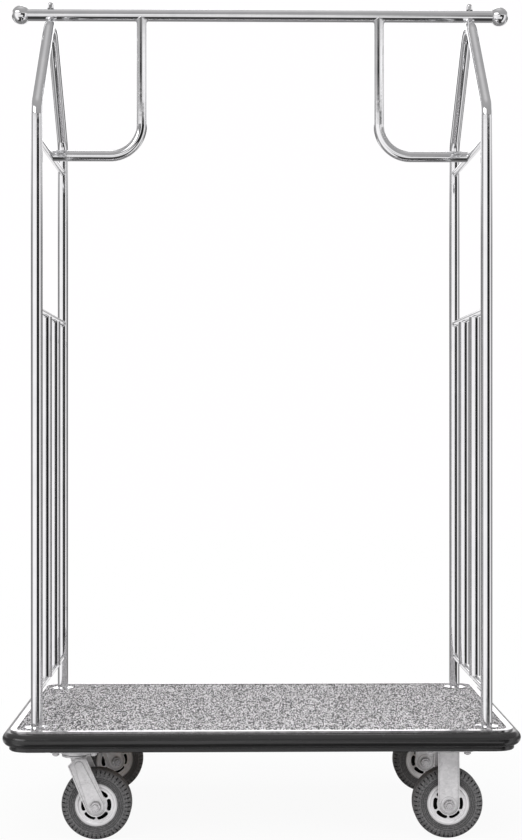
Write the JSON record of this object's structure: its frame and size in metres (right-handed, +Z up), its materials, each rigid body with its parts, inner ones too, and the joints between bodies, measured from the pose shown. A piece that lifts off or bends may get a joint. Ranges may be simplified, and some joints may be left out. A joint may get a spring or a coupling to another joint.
{
  "type": "luggage cart",
  "caption": "Hotel luggage cart with a carpeted bumper-edged deck on swivel and rigid casters, hooped tube end frames and a hanging rail with ball ends.",
  "frame": {"origin": "on the floor under the middle of the deck", "axes": "+Z up, +X along the deck from the swivel casters to the rigid casters, +Y across the deck to its rear"},
  "size_m": [1.139, 0.62, 1.8556],
  "materials": {
    "polished_tube": "polished",
    "trim_steel": "satin",
    "deck_wood": "matt",
    "carpet": "cut pile",
    "bumper_rubber": "satin",
    "underframe_paint": "satin",
    "caster_zinc": "zinc plated",
    "fastener_zinc": "zinc plated",
    "tyre_rubber": "matt",
    "rim_paint": "satin"
  },
  "bodies": {
    "frame": {"deck_board": "deck_wood", "deck_carpet": "carpet", "deck_trim": "trim_steel", "bumper": "bumper_rubber", "underframe_rails": "underframe_paint", "caster_channels": "underframe_paint", "left_hoop": "polished_tube", "left_lower_crossbar": "polished_tube", "left_mid_crossbar": "polished_tube", "left_upper_crossbar": "polished_tube", "left_upright_bars": "polished_tube", "left_rail_bracket": "polished_tube", "left_finial": "polished_tube", "right_hoop": "polished_tube", "right_lower_crossbar": "polished_tube", "right_mid_crossbar": "polished_tube", "right_upper_crossbar": "polished_tube", "right_upright_bars": "polished_tube", "right_rail_bracket": "polished_tube", "right_finial": "polished_tube", "hanging_rail": "polished_tube", "rail_bolts": "polished_tube", "rail_dome_nuts": "polished_tube", "post_flanges": "polished_tube", "post_plugs": "fastener_zinc", "post_bolts": "fastener_zinc", "caster_bolts": "fastener_zinc", "caster_nuts": "fastener_zinc", "front_left_swivel_plate": "caster_zinc", "front_left_king_pin": "caster_zinc", "rear_left_swivel_plate": "caster_zinc", "rear_left_king_pin": "caster_zinc", "front_right_fork": "caster_zinc", "rear_right_fork": "caster_zinc", "rigid_axle_bolts": "fastener_zinc", "rigid_axle_nuts": "fastener_zinc", "rigid_axle_sleeves": "fastener_zinc"},
    "front_left_swivel": {"front_left_fork": "caster_zinc", "front_left_race_balls": "fastener_zinc", "front_left_axle_bolt": "fastener_zinc", "front_left_axle_nut": "fastener_zinc", "front_left_axle_sleeve": "fastener_zinc"},
    "rear_left_swivel": {"rear_left_fork": "caster_zinc", "rear_left_race_balls": "fastener_zinc", "rear_left_axle_bolt": "fastener_zinc", "rear_left_axle_nut": "fastener_zinc", "rear_left_axle_sleeve": "fastener_zinc"},
    "front_left_wheel": {"front_left_tyre": "tyre_rubber", "front_left_rim": "rim_paint", "front_left_bearings": "fastener_zinc"},
    "rear_left_wheel": {"rear_left_tyre": "tyre_rubber", "rear_left_rim": "rim_paint", "rear_left_bearings": "fastener_zinc"},
    "front_right_wheel": {"front_right_tyre": "tyre_rubber", "front_right_rim": "rim_paint", "front_right_bearings": "fastener_zinc"},
    "rear_right_wheel": {"rear_right_tyre": "tyre_rubber", "rear_right_rim": "rim_paint", "rear_right_bearings": "fastener_zinc"}
  },
  "joints": [
    {"name": "front_left_swivel_turn", "type": "hinge", "parent": "frame", "child": "front_left_swivel", "pos_m": [-0.4, -0.205, 0.17], "axis": [0, 0, 1], "continuous": true},
    {"name": "rear_left_swivel_turn", "type": "hinge", "parent": "frame", "child": "rear_left_swivel", "pos_m": [-0.4, 0.205, 0.17], "axis": [0, 0, 1], "continuous": true},
    {"name": "front_left_wheel_spin", "type": "hinge", "parent": "front_left_swivel", "child": "front_left_wheel", "pos_m": [-0.355, -0.205, 0.075], "axis": [0, 1, 0], "continuous": true},
    {"name": "rear_left_wheel_spin", "type": "hinge", "parent": "rear_left_swivel", "child": "rear_left_wheel", "pos_m": [-0.35799, 0.22113, 0.075], "axis": [-0.3584, 0.9336, 0], "continuous": true},
    {"name": "front_right_wheel_spin", "type": "hinge", "parent": "frame", "child": "front_right_wheel", "pos_m": [0.4, -0.205, 0.075], "axis": [0, 1, 0], "continuous": true},
    {"name": "rear_right_wheel_spin", "type": "hinge", "parent": "frame", "child": "rear_right_wheel", "pos_m": [0.4, 0.205, 0.075], "axis": [0, 1, 0], "continuous": true}
  ]
}
